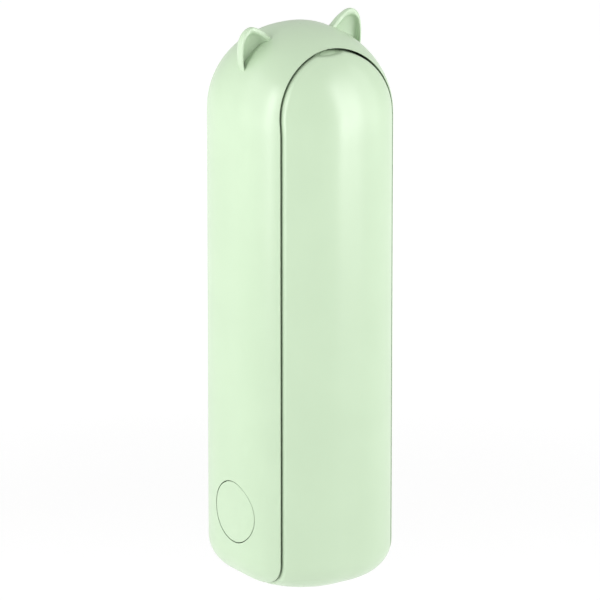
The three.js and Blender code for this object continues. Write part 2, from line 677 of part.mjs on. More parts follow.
function propeller() {
  const rearY = BELL_FRONT_Y + FIT;
  const hub = turnedY([
    [0, rearY],
    [HUB_RADIUS, rearY],
    [HUB_RADIUS, rearY + 1],
    [HUB_RADIUS - 0.8, rearY + 2],
    [6, rearY + 3.1],
    [4.2, rearY + 3.5],
    [0, rearY + 3.5],
  ], 0, FAN_Z, FINE);
  const upper = blade();
  const whole = join(hub, upper, aroundFan(upper, Math.PI));
  return whole.subtract(rodY(SHAFT_RADIUS + SHAFT_FIT, [-13, -5], 0, FAN_Z));
}

function hubCap() {
  return turnedY([[0, -8.5], [3.6, -8.5], [3.6, -8], [2.6, -7.5], [0, -7.3]], 0, FAN_Z);
}

// ---- Small parts --------------------------------------------------------------------------------

// A pan-head screw with a crossed recess. Its head's top is at the origin and it points along -Y.
function screw(headRadius, headHeight, shankRadius, length) {
  const body = turnedY([
    [0, -length],
    [shankRadius * 0.4, -length],
    [shankRadius, -length + 0.8],
    [shankRadius, -headHeight],
    [headRadius, -headHeight],
    [headRadius, -0.25],
    [headRadius - 0.3, 0],
    [0, 0],
  ], 0, 0, COARSE);
  const slot = headRadius * 0.65;
  const depth = headHeight * 0.55;
  const across = box([-slot, slot], [-depth, 1], [-0.22, 0.22]);
  const down = box([-0.22, 0.22], [-depth, 1], [-slot, slot]);
  return geometryOf(cut(body, across, down));
}

function wire(points) {
  const section = new THREE.Shape().absarc(0, 0, CABLE_RADIUS, 0, 2 * Math.PI);
  const path = new THREE.CatmullRomCurve3(points.map((point) => new THREE.Vector3(...point)));
  return new THREE.ExtrudeGeometry(section, {
    extrudePath: path,
    steps: 4 * (points.length - 1),
    curveSegments: 4,
    bevelEnabled: false,
  });
}

// ---- Assembly -----------------------------------------------------------------------------------

const fan = new THREE.Group();

function add(name, shape, finish, place = (mesh) => mesh) {
  const geometry = shape.isBufferGeometry ? shape : geometryOf(shape);
  const mesh = new THREE.Mesh(geometry, finish);
  mesh.name = name;
  place(mesh);
  fan.add(mesh);
}

function addHandle() {
  add("handle_shell", handleShell(), MINT);
  add("handle_inner_cover", handleInnerCover(), MINT_INNER);
  add("power_button", powerButton(), BLADE);
  add("charge_indicator", chargeIndicator(), LIGHT_PIPE);
  add("control_board", controlBoard(), BOARD_GREEN);
  add("main_chip", box([-7, -1], [BOARD.front - 1.2, BOARD.front - 0.3], [81, 87]), CHIP_BLACK);
  add("tact_switch", tactSwitch(), DARK_STEEL);
  add("usb_c_port", usbPort(), STEEL);
  add("battery_cell", cell(), CELL_WRAP);
  add("cell_tab_low", cellTab(CELL_LOW_Z - 0.6), NICKEL);
  add("cell_tab_high", cellTab(CELL_LOW_Z + CELL_LENGTH + 0.3), NICKEL);
  const foamLow = CELL_LOW_Z + CELL_LENGTH + 0.9;
  add("cell_foam_pad", rodZ(7, [foamLow, foamLow + 2.4], 0, CELL_Y), FOAM);
  COVER_SCREWS.forEach(([x, z], i) => {
    add(`cover_screw_${i + 1}`, screw(1.6, 1, 0.8, 8), STEEL, (mesh) => {
      mesh.position.set(x, HANDLE_COVER_FRONT_Y, z);
      mesh.rotation.z = Math.PI;
    });
  });
  add("cell_lead_high", wire([
    [5.2, 0.9, 115.2],
    [5.4, 0.1, 114],
    [5.4, 0, 112],
    [5.4, 0.1, 102],
    [5.4, 0.2, 92.5],
  ]), RED_WIRE);
  add("cell_lead_low", wire([
    [-4.6, 0.7, 49],
    [-4.8, 0.2, 50],
    [-5, 0.2, 51.4],
    [-5, 0.2, 53.6],
  ]), BLACK_WIRE);
  add("motor_cable_handle", wire([
    [12.2, HINGE_Y, HINGE_Z],
    [15.4, HINGE_Y, HINGE_Z],
    [17.4, HINGE_Y, HINGE_Z + 1],
    [CABLE_DUCT_X, HINGE_Y, HINGE_Z + 4],
    [CABLE_DUCT_X, HINGE_Y, 36],
    [CABLE_DUCT_X, HINGE_Y, 52],
    [16.6, -1.5, 55],
    [13, -1.3, 56.4],
    [9, -1.2, 57],
  ]), BLACK_WIRE);
}

function addHinge() {
  [["left", -1], ["right", 1]].forEach(([name, side]) => {
    add(`hinge_pin_${name}`, hingePin(side), MINT);
    add(`hinge_clip_${name}`, pinClip(side), STEEL);
    const bush = pinRing(PIN_RADIUS + 0.2, BUSH_RADIUS, BUSH_SPAN, side);
    add(`hinge_bush_${name}`, bush, BRASS);
    const washer = pinRing(PIN_RADIUS + FIT, WASHER_RADIUS, WASHER_SPAN, side);
    add(`friction_washer_${name}`, washer, DARK_STEEL);
  });
}

function addArm() {
  add("arm_shell", armShell(), MINT);
  add("arm_inner_cover", armInnerCover(), MINT_INNER);
  ARM_SCREWS.forEach(([x, z], i) => {
    add(`arm_screw_${i + 1}`, screw(1.6, 0.8, 0.8, 4.4), STEEL, (mesh) => {
      mesh.position.set(x, ARM_BACK_Y, z);
    });
  });
  add("heel_screw", screw(1.6, 0.8, 0.8, 9), STEEL, (mesh) => {
    mesh.position.set(0, HEEL_SCREW_Y, HEEL_SCREW_TOP_Z);
    mesh.rotation.x = Math.PI / 2;
  });
  add("motor_cable_arm", wire([
    [4, -16.4, 76.4],
    [4, -16.2, 68],
    [4, -16.4, 46],
    [2.4, -16.6, 36],
    [1, -16, 27],
    [1, -11.5, 20.4],
    [2, -5.5, HINGE_Z],
    [5, HINGE_Y, HINGE_Z],
    [11.8, HINGE_Y, HINGE_Z],
  ]), BLACK_WIRE);
}

function addMotor() {
  add("motor_base", motorBase(), DARK_STEEL);
  MOTOR_SCREWS_Z.forEach((z, i) => {
    add(`motor_screw_${i + 1}`, screw(1.2, 0.6, 0.6, 3.2), STEEL, (mesh) => {
      mesh.position.set(0, BASE_SPAN[1] + 0.7, z);
    });
  });
  const bearing = (span) => tubeY(SHAFT_RADIUS + SHAFT_FIT, BEARING_RADIUS, span, 0, FAN_Z);
  add("bearing_rear", bearing([-18.9, -17.4]), STEEL);
  add("bearing_front", bearing([-15.6, -14.1]), STEEL);
  add("stator_core", statorCore(), DARK_STEEL);
  for (let i = 0; i < TOOTH_COUNT; i += 1) {
    add(`stator_coil_${i + 1}`, coil(i), COPPER);
  }
  add("motor_shaft", rodY(SHAFT_RADIUS, [-18.8, -8.8], 0, FAN_Z), STEEL);
  add("rotor_bell", rotorBell(), STEEL);
  add("magnet_ring", tubeY(7.45, 8.35, [-17, -13.6], 0, FAN_Z, FINE), DARK_STEEL);
  add("propeller", propeller(), BLADE);
  add("hub_cap", hubCap(), MINT);
}

addHandle();
addHinge();
addArm();
addMotor();

export default fan;
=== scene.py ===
"""Folding pocket fan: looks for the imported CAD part.

Lengths in the shape code are millimetres in the part's frame.
"""
import json
import math

import bmesh
import bpy
import numpy as np
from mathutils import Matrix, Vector


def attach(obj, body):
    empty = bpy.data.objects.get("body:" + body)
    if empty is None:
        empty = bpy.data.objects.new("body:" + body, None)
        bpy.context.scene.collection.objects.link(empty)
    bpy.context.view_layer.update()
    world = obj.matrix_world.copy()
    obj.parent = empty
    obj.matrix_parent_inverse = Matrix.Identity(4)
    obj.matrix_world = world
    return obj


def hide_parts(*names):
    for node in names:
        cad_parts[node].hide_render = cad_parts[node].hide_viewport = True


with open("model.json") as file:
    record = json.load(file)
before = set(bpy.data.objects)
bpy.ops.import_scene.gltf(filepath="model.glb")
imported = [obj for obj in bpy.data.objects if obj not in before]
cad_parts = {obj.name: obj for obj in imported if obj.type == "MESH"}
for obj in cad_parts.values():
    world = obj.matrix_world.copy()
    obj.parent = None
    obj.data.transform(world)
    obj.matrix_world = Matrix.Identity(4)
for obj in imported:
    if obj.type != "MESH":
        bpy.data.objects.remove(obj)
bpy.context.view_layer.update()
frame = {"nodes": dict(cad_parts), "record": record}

MM = 0.001

# Outer body, as in the CAD part.
HALF_WIDTH, HALF_DEPTH, CORNER, FOOT = 20.5, 22.0, 18.4, 7.4
SHOULDER, DOME = 115.2, 21.2
CX, CY = HALF_WIDTH - CORNER, HALF_DEPTH - CORNER
CORE = CORNER - FOOT  # corner radius of the flat foot

# Seam between the handle and the arm. The arm's skin ends 0.15 mm inside the CAD arm's edge.
ARM_HALF, SEAM = 15.5, 0.6
OPEN_HALF = ARM_HALF + SEAM
ARCH_Z, ARM_RISE = 117.4, 15.05
OPEN_RISE = ARM_RISE + SEAM
NOTCH_HALF, NOTCH_DROP = 4.8, 0.7

# Hinge.
HINGE_Y, HINGE_Z = -1.7, 18.0
HEEL_RADIUS, HEEL_SWEEP = 27.15, 27.5
PIN_CAP, PIN_POCKET = 7.53, 7.72

# Opening for the charging port in the handle's right side, with round ends along Z.
PORT_Y, PORT_Z, PORT_HALF_LENGTH, PORT_HALF_WIDTH = 2.6, 59.5, 4.8, 1.9

SKIN = 1.0  # thickness of the smooth outer skin of each shell
SKIN_GAP = 0.02  # between a skin and the inner part of its CAD solid
HANDLE_RIM, ARM_RIM, CAP_RIM = 0.3, 0.65, 0.22  # how far each skin's rim is rounded over
RIM_STEPS = 5
ROUND_STEPS = 96  # steps in a full circle
SIDE_LOW, SIDE_HIGH = 15, 30  # X range of a tool that cuts through one side of the handle
FLOOR_Z = -100.0  # the studio floor lies below the tip of the unfolded arm

# ---- Body form ----------------------------------------------------------------------------------


def section(z, inset):
    """Scale and corner radius of the body's plan at height z, at an inset inside the surface."""
    if z < FOOT:
        foot = FOOT - inset
        drop = min(FOOT - z, foot)
        return 1.0, CORE + math.sqrt(max(foot**2 - drop**2, 0.0))
    if z > SHOULDER:
        rise = min((z - SHOULDER) / (DOME - inset), 1.0)
        return math.sqrt(max(1.0 - rise**2, 1e-8)), CORNER - inset
    return 1.0, CORNER - inset


def depth_at(x, z, inset):
    """Distance of the surface from the XZ plane at (x, z)."""
    scale, radius = section(z, inset)
    over = max(abs(x) / scale - CX, 0.0)
    return scale * (CY + math.sqrt(max(radius**2 - over**2, 0.0)))


def reach_to(x, z, inset):
    """Length along the plan's outline from its front or back centre to |x|, before scaling."""
    scale, radius = section(z, inset)
    over = abs(x) / scale - CX
    if over <= 0:
        return abs(x) / scale
    return CX + radius * math.asin(min(over / radius, 1.0))


def half_outline(z, inset):
    return 2 * CX + 2 * CY + math.pi * section(z, inset)[1]


def around(length, z, inset):
    """Point of the plan's outline at a length from the front centre, round the -X side."""
    scale, radius = section(z, inset)
    quarter = radius * math.pi / 2
    if length > half_outline(z, inset) / 2:
        x, y, _ = around(half_outline(z, inset) - length, z, inset)
        return x, -y, z
    if length < CX:
        x, y = -length, -(CY + radius)
    elif length < CX + quarter:
        angle = (length - CX) / radius
        x, y = -(CX + radius * math.sin(angle)), -(CY + radius * math.cos(angle))
    else:
        x, y = -(CX + radius), length - CX - quarter - CY
    return scale * x, scale * y, z


def body_normal(point):
    """Outward direction of the body's surface at a point on it."""
    x, y, z = point
    scale, _ = section(z, 0.0)
    over_x = math.copysign(max(abs(x) / scale - CX, 0), x)
    over_y = math.copysign(max(abs(y) / scale - CY, 0), y)
    across = np.array([over_x, over_y])
    across /= max(np.linalg.norm(across), 1e-9)
    if z < FOOT:
        down = (FOOT - max(z, 0.0)) / FOOT
        return np.array([*(across * math.sqrt(1 - down**2)), -down])
    rise = max(z - SHOULDER, 0.0) / DOME**2 / scale
    normal = np.array([*across, (x * across[0] + y * across[1]) / scale * rise])
    return normal / np.linalg.norm(normal)


def eased(count):
    """Fractions from 0 to 1, closer together at both ends."""
    steps = np.linspace(0, 1, count + 1)
    return steps - 0.6 * np.sin(2 * np.pi * steps) / (2 * np.pi)


def fillet_heights(x, inset, steps):
    """Heights from the side of the foot's fillet down to where the plane at x meets the bottom."""
    foot = FOOT - inset
    lowest = math.acos(min(max((abs(x) - CX - CORE) / foot, 0.0), 1.0))
    return [FOOT - foot * math.sin(angle) for angle in np.linspace(0, lowest, steps + 1)]


# ---- Meshes -------------------------------------------------------------------------------------


def object_from(name, verts, faces):
    mesh = bpy.data.meshes.new(name)
    mesh.from_pydata([tuple(MM * c for c in v) for v in verts], [], faces)
    piece = bpy.data.objects.new(name, mesh)
    bpy.context.scene.collection.objects.link(piece)
    with_bmesh(piece, lambda bm: bmesh.ops.recalc_face_normals(bm, faces=bm.faces))
    return piece


def with_bmesh(piece, change):
    bm = bmesh.new()
    bm.from_mesh(piece.data)
    change(bm)
    bm.to_mesh(piece.data)
    bm.free()
    piece.data.update()


def smooth(piece, limit=38):
    """Smooth shading, with an edge kept sharp where its faces turn by more than limit degrees."""
    def mark(bm):
        for face in bm.faces:
            face.smooth = True
        for edge in bm.edges:
            edge.smooth = len(edge.link_faces) == 2 and edge.calc_face_angle(0.0) < math.radians(limit)
    with_bmesh(piece, mark)
    return piece


def strips(rings):
    """Faces between each two neighbouring closed rings of vertex numbers."""
    faces = []
    for one, two in zip(rings, rings[1:]):
        for i in range(len(one)):
            j = (i + 1) % len(one)
            faces.append([one[i], one[j], two[j], two[i]])
    return faces


def lofted(name, rings):
    """A closed solid through rings of equally many points, with a flat face at each end."""
    count = len(rings[0])
    numbers = [list(range(first, first + count)) for first in range(0, count * len(rings), count)]
    faces = strips(numbers) + [numbers[0], numbers[-1]]
    return object_from(name, [point for ring in rings for point in ring], faces)


def applied(piece):
    """The piece with the result of its modifiers as its mesh."""
    graph = bpy.context.evaluated_depsgraph_get()
    result = bpy.data.meshes.new_from_object(piece.evaluated_get(graph))
    piece.modifiers.clear()
    piece.data = result
    return piece


def boolean(target, tool, operation):
    modifier = target.modifiers.new("join", "BOOLEAN")
    modifier.operation = operation
    modifier.solver = "EXACT"
    modifier.object = tool
    applied(target)
    bpy.data.objects.remove(tool)
    return target


def joined(name, pieces):
    """One object with the faces of all these pieces; each keeps its own smooth and sharp edges."""
    bm = bmesh.new()
    for piece in pieces:
        bm.from_mesh(piece.data)
    mesh = bpy.data.meshes.new(name)
    bm.to_mesh(mesh)
    bm.free()
    for piece in pieces:
        bpy.data.objects.remove(piece)
    result = bpy.data.objects.new(name, mesh)
    bpy.context.scene.collection.objects.link(result)
    return result


# ---- Shells from patches ------------------------------------------------------------------------


def boundary_loops(faces):
    """Closed loops of the vertices whose edges have a face on one side only."""
    counts = {}
    for face in faces:
        for a, b in zip(face, face[1:] + face[:1]):
            key = (min(a, b), max(a, b))
            counts[key] = counts.get(key, 0) + 1
    links = {}
    for (a, b), count in counts.items():
        if count == 1:
            links.setdefault(a, []).append(b)
            links.setdefault(b, []).append(a)
    loops = []
    left = set(links)
    while left:
        loop = [min(left)]
        left.discard(loop[0])
        while True:
            ahead = [v for v in links[loop[-1]] if v in left]
            if not ahead:
                break
            loop.append(ahead[0])
            left.discard(ahead[0])
        loops.append(loop)
    return loops


def patch_mesh(patches):
    """Outer points, inner points and outer faces of (outer grid, inner grid) patches that meet."""
    index, outer, inner, faces = {}, [], [], []

    def vertex(out_point, in_point):
        key = tuple(round(c, 3) + 0.0 for c in out_point)
        if key not in index:
            index[key] = len(outer)
            outer.append(out_point)
            inner.append(in_point)
        return index[key]

    for grid_out, grid_in in patches:
        ids = [[vertex(p, q) for p, q in zip(*rows)] for rows in zip(grid_out, grid_in)]
        for low, high in zip(ids, ids[1:]):
            for i in range(len(low) - 1):
                corners = list(dict.fromkeys([low[i], low[i + 1], high[i + 1], high[i]]))
                if len(corners) > 2:
                    faces.append(corners)
    return np.array(outer, float), np.array(inner, float), faces


def rim_arcs(corner, inner, centres, edge):
    """Rows of points that round a rim over, from the outer surface to the wall.

    The centres are those of the faces beside each corner, and tell which way the rim faces.
    """
    along = np.roll(corner, -1, 0) - np.roll(corner, 1, 0)
    away = np.cross(along, [body_normal(point) for point in corner])
    away /= np.linalg.norm(away, axis=1)[:, None]
    away *= np.sign(np.sum(away * (corner - centres), 1))[:, None]
    wall = inner - corner
    length = np.linalg.norm(wall, axis=1)[:, None]
    start = corner - edge * away
    end = corner + wall / length * np.minimum(edge, 0.6 * length)
    steps = np.linspace(0, 1, RIM_STEPS + 1)
    return [(1 - t) ** 2 * start + 2 * t * (1 - t) * corner + t**2 * end for t in steps]


def shell(name, patches, edge):
    """A closed shell from (outer grid, inner grid) patches, its outer rim rounded over about edge."""
    outer, inner, faces = patch_mesh(patches)
    count = len(outer)
    middles = [[] for _ in outer]
    for face in faces:
        for v in face:
            middles[v].append(outer[face].mean(0))
    verts = [tuple(p) for p in outer] + [tuple(p) for p in inner]
    all_faces = faces + [[v + count for v in face] for face in faces]
    for loop in boundary_loops(faces):
        centres = np.array([np.mean(middles[v], 0) for v in loop])
        start, *arcs = rim_arcs(outer[loop], inner[loop], centres, edge)
        for v, point in zip(loop, start):
            verts[v] = tuple(point)
        rings = [loop]
        for arc in arcs:
            rings.append(list(range(len(verts), len(verts) + len(loop))))
            verts.extend(tuple(point) for point in arc)
        rings.append([v + count for v in loop])
        all_faces += strips(rings)
    return object_from(name, verts, all_faces)


# ---- Handle skin --------------------------------------------------------------------------------


def tongue_points(inset, steps):
    """(height, |x|) of the back seam, from its lowest middle up to the cheek's back corner."""
    radius = CORNER - inset
    widest = math.asin((OPEN_HALF - CX) / radius)
    points = []
    for angle in np.linspace(0, widest, steps + 1):
        y = CY + radius * math.cos(angle)
        height = HINGE_Z + math.sqrt(HEEL_SWEEP**2 - (y - HINGE_Y) ** 2)
        points.append((height, CX + radius * math.sin(angle)))
    return points


def upper_levels(inset, start):
    """Heights from start to the crown, following the arch's curve where the seam does."""
    column = list(np.linspace(start, SHOULDER, 26))
    arch = [ARCH_Z + OPEN_RISE * math.sin(a) for a in np.linspace(0, math.pi / 2, 31)]
    first = math.asin((arch[-1] - SHOULDER) / (DOME - inset))
    crown = [SHOULDER + (DOME - inset) * math.sin(a) for a in np.linspace(first, math.pi / 2, 9)[1:]]
    return column + arch + crown


def front_edge(z):
    if z <= ARCH_Z:
        return OPEN_HALF
    rise = (z - ARCH_Z) / OPEN_RISE
    return OPEN_HALF * math.sqrt(max(1 - rise**2, 0.0))


def side_row(z, inset, back_x, side):
    start = reach_to(front_edge(z), z, inset)
    end = half_outline(z, inset) - reach_to(back_x, z, inset)
    row = [around(start + (end - start) * f, z, inset) for f in eased(30)]
    return [(-side * x, y, h) for x, y, h in row]


def back_row(z, inset, back_x):
    row = []
    for f in eased(26):
        across = 2 * f - 1
        length = half_outline(z, inset) - abs(across) * reach_to(back_x, z, inset)
        x, y, h = around(length, z, inset)
        row.append((math.copysign(x, across), y, h))
    return row


def handle_grids(inset):
    tongue = tongue_points(inset, 10)
    foot = fillet_heights(OPEN_HALF, inset, 10)[::-1]
    cheeks = list(np.linspace(FOOT, tongue[0][0], 8))[1:-1]
    low = [(z, OPEN_HALF) for z in foot + cheeks + [z for z, _ in tongue]]
    high = [(z, OPEN_HALF * section(z, inset)[0]) for z in upper_levels(inset, tongue[-1][0])[1:]]
    sides = [[side_row(z, inset, x, side) for z, x in low + high] for side in (-1, 1)]
    back = [back_row(z, inset, x) for z, x in tongue + high]
    return sides + [back]


# ---- Arm skin -----------------------------------------------------------------------------------

RIB_STEPS = [0, 0.09, 0.18, 0.27, 0.36, 0.45, 0.54, 0.63, 0.71, 0.785, 0.85, 0.905, 0.955, 1]


def arm_column(x, inset):
    side = depth_at(x, FOOT, inset)
    heel = HINGE_Z + math.sqrt(HEEL_RADIUS**2 - (side - HINGE_Y) ** 2)
    fillet = fillet_heights(x, inset, 10)
    bottom = depth_at(x, fillet[-1], inset)
    points = [(x, side, z) for z in np.linspace(heel, FOOT, 10)]
    points += [(x, depth_at(x, z, inset), z) for z in fillet[1:]]
    points += [(x, y, fillet[-1]) for y in np.linspace(bottom, -bottom, 12)[1:-1]]
    points += [(x, -depth_at(x, z, inset), z) for z in fillet[::-1]]
    points += [(x, -depth_at(x, z, inset), z) for z in np.linspace(FOOT, SHOULDER, 26)[1:]]
    return points + [(x, -depth_at(x, ARCH_Z, inset), ARCH_Z)]


def notch_height(x):
    return ARCH_Z + ARM_RISE - NOTCH_DROP * math.sqrt(max(1 - (x / NOTCH_HALF) ** 2, 0.0))


def arm_outline():
    """Points in the XZ plane over the arch from left to right, with the finger notch cut in its top."""
    meet = NOTCH_HALF - 0.25
    for _ in range(30):  # where the notch leaves the arch
        rise = (notch_height(meet) - ARCH_Z) / ARM_RISE
        meet = min(ARM_HALF * math.sqrt(1 - rise**2), NOTCH_HALF - 1e-3)
    last = math.acos(meet / ARM_HALF)
    arch = [(ARM_HALF * math.cos(a), ARCH_Z + ARM_RISE * math.sin(a)) for a in np.linspace(0, last, 25)]
    notch = [(x, notch_height(x)) for x in np.linspace(meet, -meet, 13)[1:-1]]
    return [(-x, z) for x, z in arch] + notch[::-1] + arch[::-1]


def arm_grids(inset):
    columns = [-ARM_HALF * f for f in RIB_STEPS[:0:-1]] + [ARM_HALF * f for f in RIB_STEPS]
    lower = [arm_column(x, inset) for x in columns]
    fan = []
    for x, z in arm_outline():
        rib = [(f * x, ARCH_Z + f * (z - ARCH_Z)) for f in RIB_STEPS]
        fan.append([(px, -depth_at(px, pz, inset), pz) for px, pz in rib])
    return [lower, fan]


# ---- Ears ---------------------------------------------------------------------------------------

# Outline of the +X ear in the XZ plane: up its outer edge, over the tip, down its inner edge,
# then back inside the dome.
EAR_OUTLINE = [
    (15.7, 125.0), (16.9, 128.9), (17.1, 133.0), (16.4, 136.4), (14.3, 138.0),
    (11.7, 137.0), (9.5, 135.2), (7.4, 132.8), (10.0, 129.4), (13.4, 126.4),
]
EAR_ROOT, EAR_FRONT, EAR_BACK, EAR_EDGE = (13.6, 129.0), -0.9, 4.2, 0.35
EAR_BACK_END = 0.47 * math.pi  # how far round its back the ear is drawn, short of a point
SCOOP_ROOT, SCOOP_SIZE, SCOOP_BACK = (13.9, 128.4), 0.85, 0.9
SCOOP_END = 0.45 * math.pi
FLARE, FLARE_DEPTH = 0.03, 0.25  # widening of the scoop's mouth, and how deep it reaches


def closed_curve(points, count):
    """A smooth closed curve through the points, with count samples between each two."""
    points = np.array(points)
    curve = []
    for i in range(len(points)):
        a, b, c, d = (points[(i + k) % len(points)] for k in (-1, 0, 1, 2))
        for t in np.arange(count) / count:
            bend = (2 * a - 5 * b + 4 * c - d) * t**2 + (3 * b - a - 3 * c + d) * t**3
            curve.append(b + 0.5 * ((c - a) * t + bend))
    return curve


def ear_ring(side, root, size, y):
    curve = np.array(closed_curve(EAR_OUTLINE, 8))
    return [(side * x, y, z) for x, z in np.array(root) + size * (curve - root)]


def ear_body(side):
    """The whole ear: a rounded front rim and a convex back."""
    start = EAR_FRONT + EAR_EDGE
    rings = []
    for angle in np.linspace(0, math.pi / 2, 6):
        size = 1 - 0.1 * EAR_EDGE * (1 - math.sin(angle))
        rings.append(ear_ring(side, EAR_ROOT, size, EAR_FRONT + EAR_EDGE * (1 - math.cos(angle))))
    for angle in np.linspace(0, EAR_BACK_END, 15)[1:]:
        rings.append(ear_ring(side, EAR_ROOT, math.cos(angle), start + (EAR_BACK - start) * math.sin(angle)))
    return lofted("ear", rings)


def ear_scoop(side):
    """The hollow of the ear's front, with a softened edge."""
    rings = [ear_ring(side, SCOOP_ROOT, SCOOP_SIZE + 2 * FLARE, EAR_FRONT - 1)]
    for angle in np.linspace(0, SCOOP_END, 13):
        depth = (SCOOP_BACK - EAR_FRONT) * math.sin(angle)
        flare = FLARE * max(1 - depth / FLARE_DEPTH, 0) ** 2
        size = SCOOP_SIZE * math.cos(angle) ** 0.5 + flare
        rings.append(ear_ring(side, SCOOP_ROOT, size, EAR_FRONT + depth))
    return lofted("scoop", rings)


def ear(side):
    return boolean(ear_body(side), ear_scoop(side), "DIFFERENCE")


# ---- Cutting tools and refined CAD copies -------------------------------------------------------


def circle(centre, radius):
    angles = [2 * math.pi * i / ROUND_STEPS for i in range(ROUND_STEPS)]
    return [(centre[0] + radius * math.cos(a), centre[1] + radius * math.sin(a)) for a in angles]


def port_outline():
    """The charging port's opening in the YZ plane: straight sides and round ends."""
    straight = PORT_HALF_LENGTH - PORT_HALF_WIDTH
    outline = []
    for angle in np.linspace(0, 2 * math.pi, 64, endpoint=False):
        middle = PORT_Z + (straight if angle < math.pi else -straight)
        y = PORT_Y + PORT_HALF_WIDTH * math.cos(angle)
        outline.append((y, middle + PORT_HALF_WIDTH * math.sin(angle)))
    return outline


def bar(outline, low, high):
    """A closed bar along X with an outline of (y, z) points."""
    return lofted("bar", [[(x, y, z) for y, z in outline] for x in (low, high)])


def refined(node, bevel):
    """A copy of a CAD node with merged flat faces and rounded edges."""
    piece = bpy.data.objects.new(f"{node}_finished", frame["nodes"][node].data.copy())
    bpy.context.scene.collection.objects.link(piece)

    def clean(bm):
        bmesh.ops.remove_doubles(bm, verts=bm.verts, dist=2e-6)
        bmesh.ops.dissolve_limit(bm, angle_limit=math.radians(1.5), verts=bm.verts, edges=bm.edges)
    with_bmesh(piece, clean)
    modifier = piece.modifiers.new("edges", "BEVEL")
    modifier.width = bevel * MM
    modifier.segments = 2
    modifier.limit_method = "ANGLE"
    modifier.angle_limit = math.radians(40)
    modifier.use_clamp_overlap = True
    smooth(applied(piece), 32)
    modifier = piece.modifiers.new("flats", "WEIGHTED_NORMAL")
    modifier.keep_sharp = True
    return applied(piece)


# ---- Propeller and hinge caps -------------------------------------------------------------------

FAN_Z, BLADE_MID_Y, BLADE_ROOT, BLADE_RADIUS, TIP_START = 86.2, -8.9, 7.0, 40.5, 33.0
ROOT_TWIST, TWIST_LOSS = 27, 11  # degrees at the root, and how many fewer at the tip
ROOT_CHORD, CHORD_GAIN = 5.2, 4.6  # half the chord at the root, and what it gains further out
ROOT_THICKNESS, THICKNESS_LOSS = 0.65, 0.3  # half thicknesses
CAMBER = 0.5
TIP_ROUNDING = 0.985  # 1 would end the blade in a point

# (radius, y) round the fan's axis, from the hub's front to its back.
HUB_PROFILE = [
    (0.02, -12.2), (9.25, -12.2), (9.4, -12.05), (9.4, -11.3), (9.32, -11.0), (9.1, -10.7), (8.6, -10.2),
    (7.5, -9.62), (6.0, -9.15), (5.0, -8.85), (4.2, -8.7), (0.02, -8.7),
]


def hub():
    """The propeller's hub, a solid of revolution about the fan's axis."""
    angles = [2 * math.pi * i / ROUND_STEPS for i in range(ROUND_STEPS)]
    rings = []
    for radius, y in HUB_PROFILE:
        rings.append([(radius * math.cos(a), y, FAN_Z + radius * math.sin(a)) for a in angles])
    return lofted("hub", rings)


def blade_ring(radius, way):
    """Section of the upper (way 1) or lower (way -1) blade at a radius."""
    along = (radius - BLADE_ROOT) / (BLADE_RADIUS - BLADE_ROOT)
    twist = math.radians(ROOT_TWIST - TWIST_LOSS * along)
    past = max(radius - TIP_START, 0) / (BLADE_RADIUS - TIP_START)
    half_chord = (ROOT_CHORD + CHORD_GAIN * math.sin(1.5 * along)) * math.sqrt(1 - TIP_ROUNDING * past**2)
    half_thickness = (ROOT_THICKNESS - THICKNESS_LOSS * along) * min(1, half_chord / 4)
    ring = []
    for i in range(36):
        angle = 2 * math.pi * i / 36
        chord = half_chord * math.cos(angle)
        height = half_thickness * math.sin(angle) + CAMBER * math.sin(angle) ** 2
        x = chord * math.cos(twist) - height * math.sin(twist)
        y = BLADE_MID_Y + chord * math.sin(twist) + height * math.cos(twist)
        ring.append((way * x, y, FAN_Z + way * radius))
    return ring


def propeller_piece():
    inboard = list(np.linspace(BLADE_ROOT, TIP_START, 30))
    tip = [TIP_START + (BLADE_RADIUS - TIP_START) * math.sin(a) for a in np.linspace(0, math.pi / 2, 16)[1:]]
    blades = [lofted("blade", [blade_ring(radius, way) for radius in inboard + tip]) for way in (1, -1)]
    return joined("propeller_finished", [smooth(hub(), 50)] + [smooth(blade, 60) for blade in blades])


def cap_grid(side, inset):
    """Rings of the hinge cap's face, which carries on the cheek's surface."""
    rings = []
    for radius in [PIN_CAP * f for f in (0.0, 0.2, 0.4, 0.6, 0.76, 0.88, 0.96, 1.0)]:
        ring = []
        for i in range(ROUND_STEPS + 1):
            angle = 2 * math.pi * (i % ROUND_STEPS) / ROUND_STEPS
            y, z = HINGE_Y + radius * math.cos(angle), HINGE_Z + radius * math.sin(angle)
            over = max(abs(y) - CY, 0.0)
            ring.append((side * (CX + math.sqrt((CORNER - inset) ** 2 - over**2)), y, z))
        rings.append(ring)
    return rings


def pin_piece(name, side):
    cap = shell("cap", [(cap_grid(side, 0.0), cap_grid(side, SKIN))], CAP_RIM)
    return joined(f"hinge_pin_{name}_finished", [smooth(cap), frame_of(f"hinge_pin_{name}")])


# ---- Materials ----------------------------------------------------------------------------------


